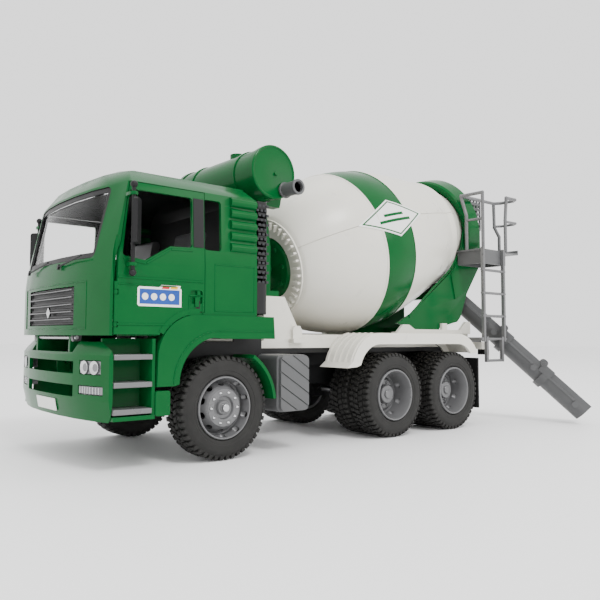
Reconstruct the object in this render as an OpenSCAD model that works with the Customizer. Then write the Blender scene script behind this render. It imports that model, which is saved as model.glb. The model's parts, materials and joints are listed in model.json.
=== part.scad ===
// Toy concrete mixer truck. X forward, Y to the left, Z up, ground at Z = 0.

/* [Wheels] */
// Outer diameter of every tyre
tyre_d = 68; // [66:0.5:68]
// Distance from the origin forward to the front axle
front_axle_x = 165; // [164:1:166]
// Distance between the two rear axles
bogie_gap = 78; // [74:1:80]
// Width of one tyre
tyre_w = 21; // [18:0.5:21]
// Diameter of the steel axle rods
axle_d = 5; // [4:0.5:5]

/* [Cab] */
// Half of the cab's width
half_w = 77; // [76:0.5:77]
// Height of the crown of the roof
roof_z = 187.5; // [186:0.5:189]
// Wall thickness of the cab and its doors
wall = 2.4; // [2:0.1:2.6]
// Diameter of the bar that the cab tilts on
hinge_d = 3; // [2.5:0.1:3]

/* [Drum] */
// Tilt of the drum's axis above the horizontal
drum_tilt = 14; // [13:0.5:15]
// Largest radius of the drum
drum_r = 73; // [70:0.5:73]
// Wall thickness of the drum
drum_wall = 2; // [1.6:0.1:2.4]
// Teeth on the drum's crown gear
crown_teeth = 40; // [40]
// Teeth on the crank's pinion
pinion_teeth = 10; // [10]

/* [Chute] */
// Swing of the chute from straight back, towards the left
chute_swing = 59; // [50:1:59]
// Slope of the chute below the horizontal
chute_slope = 43.5; // [40:0.5:43.5]
// Outer radius of the chute's round bottom
chute_r = 12.5; // [11:0.5:12.5]
// Depth of the chute
chute_h = 18; // [16:0.5:18]

/* [Hidden] */
$fn = 64;

green = [0.05, 0.48, 0.22];
cream = [0.88, 0.86, 0.80];
black = [0.06, 0.06, 0.06];
silver = [0.62, 0.63, 0.64];
grey = [0.42, 0.43, 0.44];

tyre_r = tyre_d / 2;
axle_z = tyre_r;
mid_axle_x = -1;
rear_axle_x = mid_axle_x - bogie_gap;
rod_r = axle_d / 2;
run = 0.08;          // radial clearance of a running fit
gap = 0.4;           // gap between parts that pass each other
front_rim_y = 74;    // outer plane of the front rims
rear_rim_y = 75.5;   // outer plane of the rear rims
rim_r = 20.6;        // radius where tyre and rim meet
dual_pitch = tyre_w + 2;

// ---- helpers -------------------------------------------------------------

// Both sides of the truck
module both_sides() {
  children();
  mirror([0, 1, 0]) children();
}

// Box from its lowest to its highest corner
module box(a, b) {
  translate(a) cube(b - a);
}

// A side outline (X, Z) extruded from Y = y0 to Y = y1
module side_plate(points, y0, y1) {
  translate([0, y1, 0]) rotate([90, 0, 0]) linear_extrude(y1 - y0) polygon(points);
}

// The same with 2-D children
module side_extrude(y0, y1) {
  translate([0, y1, 0]) rotate([90, 0, 0]) linear_extrude(y1 - y0) children();
}

// Cylinder along Y from y0 to y1
module rod_y(x, z, y0, y1, r) {
  translate([x, y1, z]) rotate([90, 0, 0]) cylinder(h = y1 - y0, r = r);
}

// Cylinder along X from x0 to x1
module rod_x(y, z, x0, x1, r) {
  translate([x0, y, z]) rotate([0, 90, 0]) cylinder(h = x1 - x0, r = r);
}

// Points of an arc in a plane
function arc(cx, cy, r, a0, a1, n) =
  [for (i = [0 : n]) let(a = a0 + (a1 - a0) * i / n) [cx + r * cos(a), cy + r * sin(a)]];

// Rounded rectangle from a to b
module round_rect(a, b, r) {
  translate([a[0] + r, a[1] + r]) offset(r = r, $fn = 16) square([b[0] - a[0] - 2 * r, b[1] - a[1] - 2 * r]);
}

// ---- wheels --------------------------------------------------------------

// Cross-section of one tyre: radius against width
module tyre_section(w) {
  polygon(concat(
    [[rim_r + 0.1, -w / 2 + 2], [rim_r + 2, -w / 2 + 0.6]],
    arc(tyre_r - 4, -w / 2 + 4, 4, -105, 0, 6),
    arc(tyre_r - 4, w / 2 - 4, 4, 0, 105, 6),
    [[rim_r + 2, w / 2 - 0.6], [rim_r + 0.1, w / 2 - 2]]));
}

// One tyre on a Y axis, centred at y
module tyre(x, y) {
  translate([x, y, axle_z]) rotate([90, 0, 0]) rotate_extrude() tyre_section(tyre_w);
}

// Front rim: a domed disc with a ring of slots and a hub, seen from outside
module front_rim(side) {
  out = front_rim_y;
  translate([front_axle_x, 0, axle_z]) rotate([side > 0 ? -90 : 90, 0, 0]) difference() {
    rotate_extrude() polygon([[rod_r + run, out - 19], [rim_r, out - 19], [rim_r, out], [rim_r - 1.4, out],
      [rim_r - 2.2, out - 3], [15.5, out - 1.5], [12, out + 0.5], [8, out + 0.5], [7.4, out - 1],
      [5.2, out - 1], [4.6, out + 1.2], [rod_r + run, out + 1.8]]);
    rotate_extrude() polygon([[7, out - 20], [rim_r - 2, out - 20], [rim_r - 2, out - 5],
      [14, out - 3.6], [7, out - 3.6]]);
    for (i = [0 : 9]) rotate(36 * i) translate([15.6, 0, out - 8])
      linear_extrude(10) scale([0.62, 1]) circle(r = 2.6, $fn = 12);
  }
}

// Rear rim: one deep dished rim that carries two tyres
module rear_rim(x, side) {
  out = rear_rim_y;
  disc = out - 15;
  inner = out - dual_pitch - 20;
  translate([x, 0, axle_z]) rotate([side > 0 ? -90 : 90, 0, 0]) difference() {
    rotate_extrude() polygon([[rod_r + run, inner], [rim_r, inner], [rim_r, out], [rim_r - 1.2, out],
      [rim_r - 2, out - 2.5], [17, out - 6], [16.2, out - 10], [14.5, disc + 1], [8, disc + 2.4],
      [7.6, disc + 5], [rod_r + run, disc + 5.5]]);
    rotate_extrude() polygon([[7, inner - 1], [rim_r - 2, inner - 1], [rim_r - 2, disc - 4],
      [14, disc - 1.6], [7, disc - 1.6]]);
    for (i = [0 : 7]) rotate(45 * i + 22.5) translate([11.6, 0, disc - 6])
      linear_extrude(12) scale([0.8, 1]) circle(r = 2.4, $fn = 12);
  }
}

// Two tyres side by side on one rear rim
module dual_tyres(x, side) {
  for (k = [0, 1]) tyre(x, side * (rear_rim_y - tyre_w / 2 - k * dual_pitch));
}

module front_left_tyre() { color(black) tyre(front_axle_x, front_rim_y - tyre_w / 2 + 0.5); }
module front_right_tyre() { color(black) tyre(front_axle_x, -front_rim_y + tyre_w / 2 - 0.5); }
module front_left_rim() { color(silver) front_rim(1); }
module front_right_rim() { color(silver) front_rim(-1); }
module mid_left_tyres() { color(black) dual_tyres(mid_axle_x, 1); }
module mid_right_tyres() { color(black) dual_tyres(mid_axle_x, -1); }
module rear_left_tyres() { color(black) dual_tyres(rear_axle_x, 1); }
module rear_right_tyres() { color(black) dual_tyres(rear_axle_x, -1); }
module mid_left_rim() { color(silver) rear_rim(mid_axle_x, 1); }
module mid_right_rim() { color(silver) rear_rim(mid_axle_x, -1); }
module rear_left_rim() { color(silver) rear_rim(rear_axle_x, 1); }
module rear_right_rim() { color(silver) rear_rim(rear_axle_x, -1); }

// ---- chassis -------------------------------------------------------------

frame_y = 16;        // inner face of a frame rail
frame_w = 5;
frame_lo = 42;
frame_hi = 68;
frame_rear_x = -158;
frame_front_x = 240;

// Axle block hung under both rails, bored for the rod
module axle_hanger(x) {
  difference() {
    both_sides() side_plate([[x - 14, frame_lo + 4], [x + 14, frame_lo + 4], [x + 7, axle_z - 7],
      [x - 7, axle_z - 7]], frame_y - 1, frame_y + frame_w + 1);
    rod_y(x, axle_z, -30, 30, rod_r + 0.05);
  }
}

module chassis_frame() {
  color(black) {
    difference() {
      union() {
        both_sides() {
          box([frame_rear_x, frame_y, frame_lo], [frame_front_x - 18, frame_y + frame_w, frame_hi]);
          box([mid_axle_x - 110, frame_y + frame_w, 58], [mid_axle_x + 60, 30, frame_hi]);
        }
        for (x = [frame_rear_x, -118, -40, 45, 100, 128, frame_front_x - 24])
          box([x, -frame_y, frame_lo + 2], [x + 6, frame_y, frame_hi - 2]);
      }
      for (x = [front_axle_x, mid_axle_x, rear_axle_x]) rod_y(x, axle_z, -30, 30, rod_r + 0.05);
    }
    for (x = [front_axle_x, mid_axle_x, rear_axle_x]) axle_hanger(x);
  }
}

module axles() {
  color(silver) {
    rod_y(front_axle_x, axle_z, -front_rim_y - 1.4, front_rim_y + 1.4, rod_r);
    for (x = [mid_axle_x, rear_axle_x]) rod_y(x, axle_z, -rear_rim_y + 10, rear_rim_y - 10, rod_r);
  }
}

deck_y = 46;         // half width of the cream deck
deck_lo = 72;
deck_hi = 82.5;

// Side outline of the gusset in front of the drum
gusset = [[96, deck_lo], [96, 111], [92, 111], [86, 100], [79, 88], [76, 82], [76, deck_lo]];

module subframe() {
  color(cream) {
    difference() {
      union() {
        box([-150, -deck_y, deck_lo], [117, deck_y, deck_hi - 5]);
        both_sides() {
          box([-112, deck_y - 4, deck_lo], [112, deck_y, deck_hi]);
          box([-142, deck_y - 4, deck_lo], [-34, deck_y, 85.5]);
          box([75, deck_y, 76], [88, deck_y + 6, 79]);
          side_plate([[77, 76], [86, 76], [86, 86], [84, 89], [79, 89], [77, 86]], deck_y, deck_y + 3);
          // raised rails beside the rear frame's feet
          side_plate([[-142, 84.1], [-142, 96], [-135, 96], [-126, 88], [-105, 88], [-105, 94],
            [-98, 94], [-98, 88], [-58, 88], [-50, 92], [-42, 92], [-34, 85], [-34, 84.1]],
            deck_y, deck_y + 3);
          side_plate(gusset, deck_y - 4, deck_y);
        }
        box([94, -deck_y, deck_lo], [112, deck_y, 111]);
        // rear cross beam
        box([-159, -57, 69.5], [-149, 57, 76.5]);
      }
      box([98, -deck_y + 6, 84], [113, deck_y - 6, 107]);
      box([-130, -30, 70], [-60, 30, 80]);
      box([-45, -30, 70], [60, 30, 80]);
    }
    both_sides() box([-30, 20, frame_hi], [40, 30.4, deck_lo]);
    both_sides() box([-140, 16, frame_hi], [-128, 22, deck_lo]);
  }
}

// Side profile of the fender, an arch over both rear wheels, grown by t
module fender_shape(t) {
  polygon(concat([[47 + t, 57]], arc(19, 52, 23 + t, 18, 90, 8), arc(-84, 52, 23 + t, 90, 152, 8)));
}

module rear_fenders() {
  color(cream) both_sides() {
    difference() {
      side_extrude(deck_y, 77) fender_shape(9);
      side_extrude(deck_y + 2, 74.5) fender_shape(6.5);
      side_extrude(deck_y - 1, 78) fender_shape(0);
      box([-130, 30, 30], [70, 80, 57]);
      box([-130, 30, 30], [-90, 80, 62]);
    }
    // flutes on the front slope
    for (y = [48, 54.5, 61, 67.5, 74]) side_extrude(y - 1.2, y + 1.2)
      polygon(concat(arc(19, 52, 31.6, 13, 78, 8), arc(19, 52, 33, 78, 13, 8)));
  }
}

module mudflaps() {
  color(black) both_sides() {
    box([-120, 37, 16], [-118, 73, 62]);
    box([-119, 36, 60], [-112, 46, 69]);
    box([-119, 21, 60], [-114, 46, 66]);
  }
}

module tow_coupling() {
  color(black) difference() {
    union() {
      box([-172, -12, 57], [-158.5, 12, 60]);
      box([-172, -12, 48], [-158.5, 12, 51]);
      box([-162, -15, 46], [-158, 15, 64]);
      both_sides() box([-160, 48, 64], [-155, 58, 69.3]);
    }
    translate([-167.5, 0, 40]) cylinder(h = 30, r = 2.5);
  }
}

module battery_box() {
  color(grey) {
    difference() {
      side_extrude(32, 74) round_rect([94, 28], [122, 68], 4);
      side_extrude(31, 71) round_rect([97, 31], [119, 65], 3);
    }
    difference() {
      side_extrude(74, 77) round_rect([94.5, 28.5], [120.5, 67.5], 4);
      for (k = [-2 : 2]) translate([107.5, 78, 48 + 9 * k]) rotate([0, -32, 0])
        box([-20, -2, -0.4], [20, 1, 0.4]);
    }
    box([96, 21, 50], [120, 32.5, 60]);
  }
}

module fuel_tank() {
  color(grey) {
    difference() {
      side_extrude(-76, -34) round_rect([62, 28], [122, 66], 8);
      side_extrude(-73.5, -36) round_rect([64.5, 30.5], [119.5, 63.5], 6);
    }
    box([70, -34.5, 44], [76, -21, 58]);
    box([108, -34.5, 44], [114, -21, 58]);
    translate([110, -60, 65.5]) cylinder(h = 3.5, r = 5);
  }
}

module engine_block() {
  color(grey) {
    box([150, -11, 44], [212, 11, 78]);
    box([158, -13, 52], [206, 13, 70]);
    for (i = [0 : 3]) translate([160 + 14 * i, 0, 77]) cylinder(h = 7, r = 5);
    rod_x(0, 62, 211, 215.5, 8);
    box([152, -15.9, 58], [160, 15.9, 64]);
    box([200, -15.9, 58], [208, 15.9, 64]);
  }
}

// ---- front end: bumper, wells, steps ------------------------------------

// Plan outline of the truck's nose, bowed at the front: c is the X of the middle
function nose(c, hw, back) = [[c, -14], [c, 14], [c - 1.8, 39], [c - 4.8, hw - 19], [c - 9.4, hw - 1.5],
  [c - 11.4, hw], [back, hw], [back, -hw], [c - 11.4, -hw], [c - 9.4, -hw + 1.5],
  [c - 4.8, -hw + 19], [c - 1.8, -39]];

// A thin slice of that outline at height z
module nose_slice(z, c, hw, back) {
  translate([0, 0, z]) linear_extrude(0.01) polygon(nose(c, hw, back));
}

module bumper_body(inset, top, low) {
  hull() {
    nose_slice(low, 254 - inset, half_w - 1 - inset, 230);
    nose_slice(42, 256.5 - inset, half_w - inset, 230);
    nose_slice(69, 256.5 - inset, half_w - inset, 230);
    nose_slice(top, 251.5 - inset, half_w - 3 - inset, 230);
  }
}

module bumper() {
  color(green) {
    difference() {
      bumper_body(0, 77, 30);
      bumper_body(2.4, 73.5, 28);
      box([225, -80, 20], [245.3, 80, 90]);
      // recess under the tilting cab
      box([240, -37, 70.5], [260, 37, 80]);
      // two intake slots
      box([240, -40, 57.5], [260, 40, 65]);
      box([240, -40, 43.5], [260, 40, 50.5]);
      // lamp seats
      both_sides() {
        box([240, 47, 57.5], [260, 68, 66]);
        box([240, 46, 45.5], [260, 70, 51]);
      }
    }
    // floor of the recess and brackets for the hinge bar
    box([236, -37, 68], [254, 37, 70.5]);
    difference() {
      both_sides() {
        side_plate([[241, 66], [241, 74], [248.5, 81.4], [253, 81.4], [253.2, 70]], 28, 31);
        box([222, 22, 52], [254, 25, 56]);
        box([236, 22, 52], [241, 25, 70]);
      }
      rod_y(251, 79.5, -34, 34, hinge_d / 2 + 0.05);
    }
  }
}

module cab_hinge_bar() {
  color(silver) rod_y(251, 79.5, -36, 36, hinge_d / 2);
}

module lamp(y0, y1, z0, z1) {
  intersection() {
    hull() {
      nose_slice(z0, 256.2, half_w - 0.4, 230);
      nose_slice(z1, 256.2, half_w - 0.4, 230);
    }
    box([246, y0, z0], [260, y1, z1]);
  }
}

module headlamps() {
  color(silver) both_sides() {
    lamp(47.3, 67.7, 57.8, 65.7);
    lamp(46.3, 69.7, 45.8, 50.7);
  }
}

module number_plate() {
  color("white") translate([254.75, 0, 33]) rotate([0, 11.8, 0]) box([0, -16.5, 0], [0.9, 16.5, 8]);
}

module side_wells() {
  color(green) both_sides() {
    // back wall and floor plates of the step well
    box([217.8, 58, 31], [244.9, 60, 79]);
    box([217.8, 58, 31], [220, 76, 79]);
    box([217.8, 58, 31], [244.9, 76.5, 33.5]);
    // leg block below the wheel arch
    side_extrude(60, 77.5) round_rect([208, 32.5], [218, 47.5], 1.5);
    box([217.8, 21, 60], [224, 59, 66]);
    // mudguard behind the front wheel
    side_extrude(52, 77) polygon(concat(
      arc(front_axle_x, axle_z, 38, 174, 122, 8), arc(front_axle_x, axle_z, 40.4, 122, 174, 8)));
    box([129, 21, 62], [138, 54, 68]);
  }
}

module steps() {
  color(silver) both_sides() for (z = [37.8, 53.4, 69.7])
    box([220.2, 60.2, z - 3.2], [244.9, 77.3, z]);
}

// ---- cab -----------------------------------------------------------------

// Outer form of the cab, shrunk by t
module cab_form(t) {
  hull() {
    nose_slice(80.8, 257 - t, half_w - t, 142 + t);
    nose_slice(113, 257 - t, half_w - t, 142 + t);
    nose_slice(125, 255.8 - t, half_w - t, 142 + t);
    nose_slice(173.5, 246 - t, half_w - 2 - t, 142 + t);
    nose_slice(183 - t, 239 - t, half_w - 14 - t, 146 + t);
    nose_slice(roof_z - t, 228 - t, 30 - t, 154 + t);
  }
}

// Outline of the door in side view (X, Z)
door_outline = concat([[245.2, 81.4], [218.5, 81.4]], arc(193, 71, 25, 24, 90, 6),
  [[184, 96], [184, 173], [235.6, 173], [243.4, 126]]);
// The door's window
window_outline = [[241, 128], [226, 126], [209, 136], [193, 136.5], [193, 168.5], [236, 168.5]];

module window_2d(shrink) {
  offset(r = 2 - shrink, $fn = 16) offset(delta = -2) polygon(window_outline);
}

module quarter_2d(shrink) {
  round_rect([171 + shrink, 136 + shrink], [184 - shrink, 169 - shrink], 2);
}

// Front corners of the windscreen opening (Y, Z)
screen = [[-58, 127.5], [58, 127.5], [60, 172], [-60, 172]];

module screen_2d(grow) {
  offset(r = 4 + grow, $fn = 16) offset(delta = -4) polygon(screen);
}

// Prism along X with a (Y, Z) outline
module front_extrude(x0, x1) {
  translate([x0, 0, 0]) rotate([90, 0, 90]) linear_extrude(x1 - x0) children();
}

// Arch moulding over the front wheel (X, Z)
module arch_2d() {
  difference() {
    polygon(concat([[217.4, 50]], arc(190, 67, 27, 0, 90, 10), [[128, 94], [127, 79]],
      [[170, 79]], arc(173, 51, 29, 82, 0, 10), [[205.5, 50]]));
  }
}

module cab_shell() {
  color(green) {
    difference() {
      cab_form(0);
      cab_form(wall);
      box([140, -80, 80], [217.6, 80, 93.8]);
      front_extrude(228, 262) screen_2d(0);
      side_extrude(-80, 80) quarter_2d(0);
      both_sides() side_extrude(61, 80) offset(delta = gap) polygon(door_outline);
      both_sides() translate([hinge_x, hinge_y, 75]) cylinder(h = 65, r = 1.95);
      // room for the lugs of the floor
      both_sides() box([249, 30.9, 80], [253.9, 35.5, 87]);
      // grille seat
      box([251, -40, 87], [262, 40, 111]);
    }
    both_sides() difference() {
      side_extrude(58, half_w + 1) arch_2d();
      side_extrude(57, half_w - 1.5) offset(delta = -2) arch_2d();
      side_extrude(70, 80) offset(delta = gap) polygon(door_outline);
    }
    // hinge lugs of the doors
    both_sides() for (z = lug_z) difference() {
      union() {
        translate([hinge_x, hinge_y, z]) cylinder(h = lug_h, r = 1.35);
        box([hinge_x, hinge_y - 4.8, z], [hinge_x + 3, hinge_y - 0.5, z + lug_h]);
      }
      translate([hinge_x, hinge_y, z - 1]) cylinder(h = lug_h + 2, r = pin_r + run);
    }
    // ribs of the air duct
    both_sides() for (k = [0 : 4]) translate([0, half_w - 1.4 - 0.35 * k / 4, 139.5 + 7.6 * k]) {
      rod_x(0, 0, 143, 164, 3.1);
    }
  }
}

// The doors turn on a vertical pin near the cab's front corner
hinge_x = 244.4;
hinge_y = 75.8;
pin_r = 0.8;
lug_z = [86, 105];
lug_h = 2.4;

module cab_floor() {
  color(grey) {
    difference() {
      union() {
        intersection() {
          union() {
            box([145, -57, 94.5], [251, 57, 97]);
            box([218, -70, 90.4], [250, 70, 93]);
            box([216, -70, 90.4], [219, 70, 97]);
            box([145, -73.8, 94.5], [217, 73.8, 97]);
          }
          cab_form(wall + 0.1);
        }
        // lugs that swing on the hinge bar
        both_sides() side_plate([[246.6, 92], [247.5, 79.5], [248, 77.4], [252.6, 77], [253.3, 79.5],
          [252.4, 83], [250.8, 86], [250.8, 92]], 31.4, 35);
      }
      rod_y(251, 79.5, -38, 38, hinge_d / 2 + run);
    }
  }
}

module dashboard() {
  color(black) {
    difference() {
      hull() {
        box([223, -68, 109], [243.5, 68, 118]);
        box([232, -68, 124], [243.5, 68, 126]);
      }
      box([220, -60, 100], [240, -12, 116]);
    }
    box([238, -68, 97.1], [243.5, 68, 110]);
    translate([218.8, 33, 122.2]) rotate([0, 152, 0]) translate([0, 0, 1]) cylinder(h = 16, r = 1.6);
  }
}

module steering_wheel() {
  color(black) translate([218.8, 33, 122.2]) rotate([0, -28, 0]) {
    rotate_extrude() translate([11.5, 0]) circle(r = 1.3, $fn = 20);
    cylinder(h = 1.6, r = 3, center = true);
    for (a = [0, 120, 240]) rotate(a) box([-1, 2, -0.7], [1, 10.8, 0.7]);
  }
}

module seats() {
  color(grey) for (y = [-33, 33]) translate([0, y, 0]) {
    side_extrude(-17, 17) round_rect([172, 104], [206, 112], 3);
    translate([176, 0, 110]) rotate([0, -10, 0]) side_extrude(-16, 16) round_rect([-4, 0], [3, 44], 3);
    box([176, -11, 97.1], [200, 11, 105]);
  }
}

module windscreen_slab(front, back) {
  difference() {
    cab_form(front);
    cab_form(back);
    box([120, -90, 70], [228, 90, 200]);
  }
}

module windscreen() {
  color([0.8, 0.85, 0.85, 0.4]) intersection() {
    windscreen_slab(1.5, 2.6);
    front_extrude(228, 262) screen_2d(-3.6);
  }
}

module windscreen_frame() {
  color(black) {
    intersection() {
      windscreen_slab(0.6, 3.2);
      front_extrude(228, 262) difference() {
        screen_2d(-0.3);
        screen_2d(-3.4);
      }
    }
    // two wipers lying along the lower edge
    for (y = [-38, 18]) {
      translate([256.9, y, 124.5]) rotate([0, -12, 0]) {
        rotate([98, 0, 0]) translate([0, 0, -34]) cylinder(h = 34, r = 0.6);
        box([-0.7, -1, -1.8], [0.8, 1, 1.6]);
      }
    }
  }
}

module grille() {
  color(black) {
    intersection() {
      hull() {
        nose_slice(80, 256, half_w, 230);
        nose_slice(120, 256, half_w, 230);
      }
      union() {
        difference() {
          box([251.2, -39.7, 87.3], [262, 39.7, 110.7]);
          for (k = [0 : 4]) box([253.6, -38, 88.6 + 4.5 * k], [262, 38, 91.6 + 4.5 * k]);
        }
      }
    }
  }
}

// Perforated duct that closes the cab's back, round its rear corners
module air_intake() {
  color(black) difference() {
    linear_extrude_z(95.8, 173.5) intake_plan(0);
    linear_extrude_z(98, 171) intake_plan(2);
    for (z = [118 : 4 : 168]) both_sides()
      translate([133.5, 80, z]) rotate([90, 0, 0]) linear_extrude(6) square([8, 2.2]);
    box([141.6, -80, 90], [150, 80, 180]);
  }
}

module linear_extrude_z(z0, z1) {
  translate([0, 0, z0]) linear_extrude(z1 - z0) children();
}

module intake_plan(t) {
  polygon(concat([[143, -76.4 + t]], [[143, 76.4 - t]], arc(137, 69.4, 7 - t, 90, 180, 6),
    arc(137, -69.4, 7 - t, 180, 270, 6)));
}

// ---- doors and mirrors ---------------------------------------------------

mirror_x = 236.5;
mirror_y = 81.3;
mirror_r = 1.2;
mirror_lugs = [121.5, 163.5];
mirror_turn = 51;    // direction of the mirror's face plane, from straight ahead

// The door's skin, cut from the cab's form
module door_panel() {
  difference() {
    intersection() {
      cab_form(0);
      side_extrude(60, 80) intersection() {
        polygon(door_outline);
        translate([180, 80]) square([hinge_x - 180, 100]);
      }
    }
    cab_form(wall);
  }
}

module door() {
  difference() {
    union() {
      door_panel();
      // the part of the arch moulding that belongs to the door
      side_extrude(half_w - 1.5, half_w + 1) intersection() {
        arch_2d();
        polygon(door_outline);
      }
      // rounded front edge
      translate([hinge_x, hinge_y, 81.4]) cylinder(h = 31, r = 1.2);
      // lugs that the mirror's tube turns in
      for (z = mirror_lugs) {
        box([mirror_x - 2.4, half_w - 1.8, z], [mirror_x + 2.4, mirror_y, z + 2]);
        translate([mirror_x, mirror_y, z]) cylinder(h = 2, r = 2.4);
      }
    }
    side_extrude(60, 80) window_2d(0);
    // handle recess
    side_extrude(half_w - 1.2, 80) round_rect([185.5, 101], [194.5, 109.5], 1.5);
    // notches for the cab's hinge lugs
    for (z = lug_z) translate([hinge_x, hinge_y, z - 0.4]) cylinder(h = lug_h + 0.8, r = 1.75);
    translate([mirror_x, mirror_y, 110]) cylinder(h = 70, r = mirror_r + run);
  }
  box([187.5, half_w - 1.3, 103], [189.6, half_w + 0.4, 109.2]);
  // hinge pin
  translate([hinge_x, hinge_y, 82]) cylinder(h = 29, r = pin_r);
}

module door_left() { color(green) door(); }
module door_right() { color(green) mirror([0, 1, 0]) door(); }

// Bracket arms that are pinned to the door, the tube and the mirror's head
module mirror_arm() {
  translate([mirror_x, mirror_y, 118]) cylinder(h = 52, r = mirror_r);
  // the head, turned so that its glass faces the driver
  translate([mirror_x, mirror_y, 0]) rotate(mirror_turn) {
    side_extrude(1.6, 4.2) round_rect([-2, 134], [8.5, 161], 2);
    for (z = [138, 156]) box([-1, 0, z], [1, 2, z + 1.6]);
  }
  for (z = [117.6, 170]) translate([mirror_x, mirror_y, z]) sphere(r = 2.2, $fn = 24);
}

module mirror_left() { color(black) mirror_arm(); }
module mirror_right() { color(black) mirror([0, 1, 0]) mirror_arm(); }

// ---- drum ----------------------------------------------------------------

drum_x = 70.7;       // where the drum's axis meets the plane of the crown gear
drum_z = 138.4;
drum_len = 217;      // from the crown gear to the collar
belly_s = 86;        // where the drum is widest
front_r = 40.5;
mouth_r = 42.6;
seam = 72;           // turn of the seam from the top, towards the left

// Radius of the drum at the distance s along its axis
function drum_radius(s) = s < belly_s
  ? front_r + (drum_r - front_r) * pow(1 - pow(1 - s / belly_s, 2), 1 / 1.2)
  : mouth_r + (drum_r - mouth_r) * (1 - pow((s - belly_s) / (drum_len - belly_s), 1.6));

// Places children in the drum's own frame: Z along the axis towards the mouth, X up, Y left
module in_drum() {
  translate([drum_x, 0, drum_z]) rotate([0, drum_tilt - 90, 0]) children();
}

drum_rings = [for (s = [0.5, 3, 7, 12, 18, 26, 36, 48, 60, 72, belly_s, 104, 122, 140, 158, 176, 196, drum_len]) s];

module drum_half(start) {
  in_drum() rotate(start) rotate_extrude(angle = 180) polygon(concat(
    [for (s = drum_rings) [drum_radius(s), s]],
    [[40, 219], [40, 228], [36, 228], [36, 219]],
    [for (i = [len(drum_rings) - 1 : -1 : 0]) let(s = drum_rings[i])
      [drum_radius(s) - drum_wall - (s < 30 ? (30 - s) / 15 : 0), max(s, 3)]],
    [[18, 3], [18, 0.5]]));
}

module drum_upper() { color(cream) drum_half(seam - 180); }
module drum_lower() { color(cream) drum_half(seam); }

crown_r0 = 33.8;     // inner and outer ends of a crown tooth
crown_r1 = 39.6;
crown_root = -1;
crown_tip = -4;
pinion_pitch_r = 9.25;
pinion_s = -12;      // the pinion's axis along the drum's axis

module drum_gear() {
  color(cream) in_drum() {
    rotate_extrude() polygon([[31.5, crown_root], [41, crown_root], [41, 0.4], [31.5, 0.4]]);
    for (k = [0 : crown_teeth - 1]) rotate((k + 0.5) * 360 / crown_teeth)
      box([crown_r0, -0.85, crown_tip], [crown_r1, 0.85, crown_root + 0.1]);
  }
}

module drum_hub() {
  color(green) in_drum() difference() {
    union() {
      rotate_extrude() polygon([[0, -2], [24, -2], [26, 0.4], [0, 0.4]]);
      translate([0, 0, -24]) cylinder(h = 22.5, r = 5);
      for (k = [0 : 7]) rotate(45 * k) translate([19.5, 0, -3.4]) cylinder(h = 2, r = 1.8);
    }
  }
}

// One spiral blade that follows the inside of the drum
blade_turns = 1.25;
blade_s0 = 12;
blade_s1 = 212;
blade_steps = 44;
function blade_s(i) = blade_s0 + (blade_s1 - blade_s0) * i / blade_steps;
function blade_ring(i, a0) = let(s = blade_s(i), a = a0 + 360 * blade_turns * i / blade_steps,
  ro = drum_radius(s) - drum_wall - 0.75 - (s < 30 ? (30 - s) / 15 : 0), ri = ro - 11)
  [[ri * cos(a), ri * sin(a), s - 0.7], [ro * cos(a), ro * sin(a), s - 0.7],
   [ro * cos(a), ro * sin(a), s + 0.7], [ri * cos(a), ri * sin(a), s + 0.7]];

module blade(a0) {
  n = blade_steps;
  pts = [for (i = [0 : n]) each blade_ring(i, a0)];
  sides = [for (i = [0 : n - 1], k = [0 : 3]) let(a = 4 * i + k, b = 4 * i + (k + 1) % 4)
    [a, b, b + 4, a + 4]];
  polyhedron(points = pts, faces = concat([[3, 2, 1, 0]], sides, [[4 * n, 4 * n + 1, 4 * n + 2, 4 * n + 3]]));
}

module mixing_blades() {
  color(grey) in_drum() for (a = [0, 180]) blade(a);
}

// ---- drum supports -------------------------------------------------------

// Bearing bracket behind the cab, which also carries the water tank
module front_bearing() {
  color(green) difference() {
    union() {
      box([98, -46, 111], [112, 46, 115]);
      box([99, -14, 114], [108, 14, 150]);
      both_sides() side_plate([[99, 114], [112, 114], [111, 150], [116, 181], [104, 181], [99, 150]], 33, 37);
      box([101, -34, 146], [107, 34, 150]);
      in_drum() translate([0, 0, -34]) cylinder(h = 24, r = 12);
      // arm for the crank's shaft
      side_plate([[99, 112], [99, 140], [84, 145], [76, 137], [78, 127], [88, 112]], -50, -46);
      // saddle under the tank
      difference() {
        both_sides() side_plate([[91, 181], [129, 181], [131, 190], [89, 190]], 30, 38);
        rod_y(tank_x, tank_z, -60, 60, tank_r + 0.2);
      }
    }
    in_drum() translate([0, 0, -40]) cylinder(h = 36, r = 5 + run);
    in_drum() translate([0, 0, pinion_s]) rotate([90, 0, 0]) cylinder(h = 80, r = 2.5 + run);
    in_drum() translate([0, 0, pinion_s]) rotate([90, 0, 0]) translate([0, 0, 31])
      cylinder(h = 14.6, r = 12);
  }
}

// Pinion, shaft and handle on the right side
module crank() {
  color(silver) in_drum() translate([0, 0, pinion_s]) rotate([90, 0, 0]) {
    difference() {
      union() {
        translate([0, 0, 35]) cylinder(h = 3.4, r = 6.9);
        for (k = [0 : pinion_teeth - 1]) rotate(360 / pinion_teeth * k + 90)
          box([5, -0.8, 0 + 35], [10.3, 0.8, 38.4]);
      }
    }
    translate([0, 0, 34]) cylinder(h = 44, r = 2.5);
    translate([0, 0, 74.5]) hull() {
      cylinder(h = 3.2, r = 5);
      translate([16, 0, 0]) cylinder(h = 3.2, r = 4);
    }
    translate([16, 0, 77]) cylinder(h = 9, r = 3.6);
  }
}

tank_x = 110.3;
tank_z = 203;
tank_r = 20.4;
tank_y = 55.5;

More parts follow.
